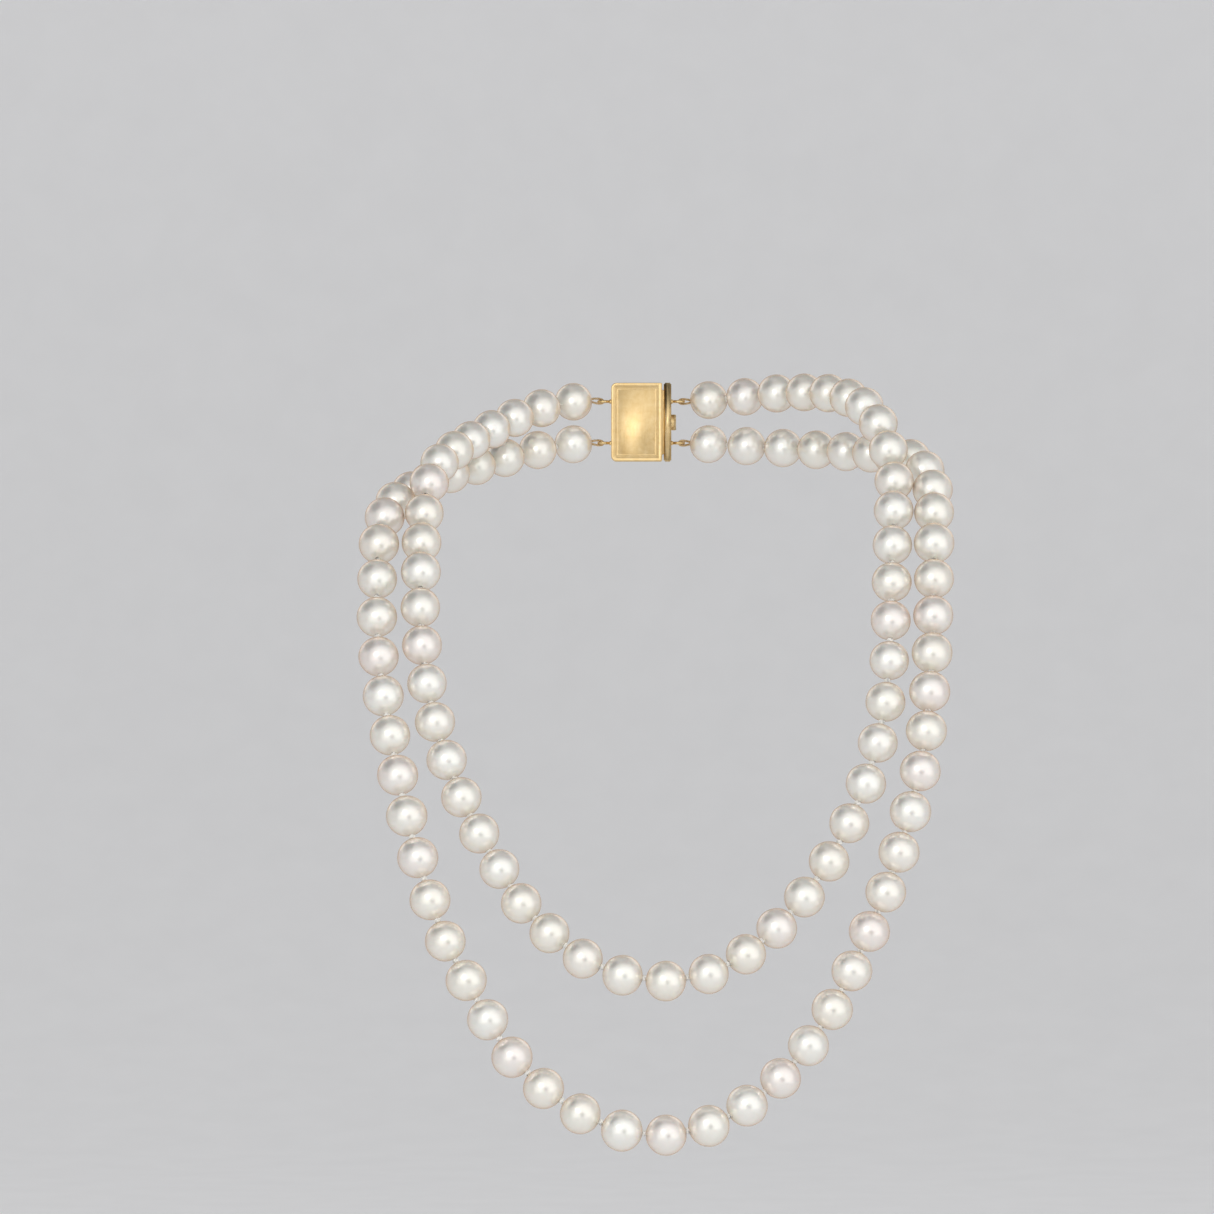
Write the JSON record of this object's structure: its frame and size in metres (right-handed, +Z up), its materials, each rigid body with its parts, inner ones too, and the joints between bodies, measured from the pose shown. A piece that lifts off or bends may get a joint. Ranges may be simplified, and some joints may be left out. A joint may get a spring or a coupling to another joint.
{
  "type": "pearl necklace",
  "caption": "Two-strand knotted pearl necklace in its worn drape, a short strand inside a longer one, joined at the nape by a two-row box clasp.",
  "frame": {"origin": "on the clasp's flat back, which lies against the wearer's nape, halfway along and up the closed clasp", "axes": "+Z up along the wearer's spine, -Y the way the wearer faces and out of the clasp's back, +X to the wearer's left"},
  "size_m": [0.1233, 0.1134, 0.1595],
  "materials": {
    "inner_pearls": "cream nacre with a soft rose overtone and a satin gloss",
    "outer_pearls": "cream nacre, slightly warmer, with a satin gloss",
    "clasp_gold": "polished yellow gold, engraved cover",
    "bullion_wire": "fine coiled gold wire",
    "knot_silk": "twisted ivory silk, knotted"
  },
  "bodies": {
    "left_nape": {"inner_left_nape_pearls_1": "inner_pearls", "inner_left_nape_pearls_2": "inner_pearls", "inner_left_nape_pearls_3": "inner_pearls", "outer_left_nape_pearls_1": "outer_pearls", "outer_left_nape_pearls_2": "outer_pearls", "outer_left_nape_pearls_3": "outer_pearls", "clasp_back_plate": "clasp_gold", "clasp_cover": "clasp_gold", "clasp_upper_wall": "clasp_gold", "clasp_lower_wall": "clasp_gold", "clasp_end_wall": "clasp_gold", "clasp_catch_lip": "clasp_gold", "clasp_left_ring_upper": "clasp_gold", "clasp_left_ring_lower": "clasp_gold", "inner_left_bullion": "bullion_wire", "outer_left_bullion": "bullion_wire"},
    "left_shoulder": {"inner_left_shoulder_pearls_1": "inner_pearls", "inner_left_shoulder_pearls_2": "inner_pearls", "inner_left_shoulder_pearls_3": "inner_pearls", "inner_left_shoulder_pearls_4": "inner_pearls", "outer_left_shoulder_pearls_1": "outer_pearls", "outer_left_shoulder_pearls_2": "outer_pearls", "outer_left_shoulder_pearls_3": "outer_pearls"},
    "left_front": {"inner_left_front_pearls_1": "inner_pearls", "outer_left_front_pearls_1": "outer_pearls", "outer_left_front_pearls_2": "outer_pearls"},
    "right_front": {"inner_right_front_pearls_1": "inner_pearls", "outer_right_front_pearls_1": "outer_pearls", "outer_right_front_pearls_2": "outer_pearls", "outer_right_front_pearls_3": "outer_pearls"},
    "right_shoulder": {"inner_right_shoulder_pearls_1": "inner_pearls", "inner_right_shoulder_pearls_2": "inner_pearls", "inner_right_shoulder_pearls_3": "inner_pearls", "outer_right_shoulder_pearls_1": "outer_pearls", "outer_right_shoulder_pearls_2": "outer_pearls", "outer_right_shoulder_pearls_3": "outer_pearls"},
    "right_nape": {"inner_right_nape_pearls_1": "inner_pearls", "inner_right_nape_pearls_2": "inner_pearls", "inner_right_nape_pearls_3": "inner_pearls", "inner_right_nape_pearls_4": "inner_pearls", "outer_right_nape_pearls_1": "outer_pearls", "outer_right_nape_pearls_2": "outer_pearls", "outer_right_nape_pearls_3": "outer_pearls", "clasp_tongue": "clasp_gold", "clasp_end_bar": "clasp_gold", "clasp_right_ring_upper": "clasp_gold", "clasp_right_ring_lower": "clasp_gold", "inner_right_bullion": "bullion_wire", "outer_right_bullion": "bullion_wire"},
    "clasp_spring": {"clasp_spring_leaf": "clasp_gold", "clasp_thumb_tab": "clasp_gold"}
  },
  "joints": [
    {"name": "shoulder_lift", "type": "hinge", "parent": "left_nape", "child": "left_shoulder", "pos_m": [0.0028, -0.05875, -0.0236], "axis": [-0.9988, 0.0479, -0.0035], "range_deg": [0, 20]},
    {"name": "chest_lift", "type": "hinge", "parent": "left_shoulder", "child": "left_front", "pos_m": [0.0028, -0.09275, -0.10225], "axis": [-0.9994, -0.0281, -0.0191], "range_deg": [0, 18], "stiffness_Nm_per_rad": 0.01, "springref_deg": -89.95},
    {"name": "front_spread", "type": "hinge", "parent": "left_front", "child": "right_front", "pos_m": [0, -0.1, -0.1146], "axis": [0, -0.1228, -0.9924], "range_deg": [0, 30]},
    {"name": "chest_lift_right", "type": "hinge", "parent": "right_front", "child": "right_shoulder", "pos_m": [0.0028, -0.09275, -0.10225], "axis": [-0.9994, -0.0281, -0.0191], "range_deg": [-18, 0], "stiffness_Nm_per_rad": 0.01, "springref_deg": -89.95},
    {"name": "shoulder_lift_right", "type": "hinge", "parent": "right_shoulder", "child": "right_nape", "pos_m": [0.0028, -0.05875, -0.0236], "axis": [-0.9988, 0.0479, -0.0035], "range_deg": [-20, 0]},
    {"name": "clasp_press", "type": "hinge", "parent": "right_nape", "child": "clasp_spring", "pos_m": [-0.005, 0.0018, 0], "axis": [0, 0, -1], "range_deg": [0, 4.5], "stiffness_Nm_per_rad": 0.4}
  ],
  "couplings": [
    {"joint": "chest_lift_right", "follows": "chest_lift", "ratio": -1},
    {"joint": "shoulder_lift_right", "follows": "shoulder_lift", "ratio": -1}
  ]
}
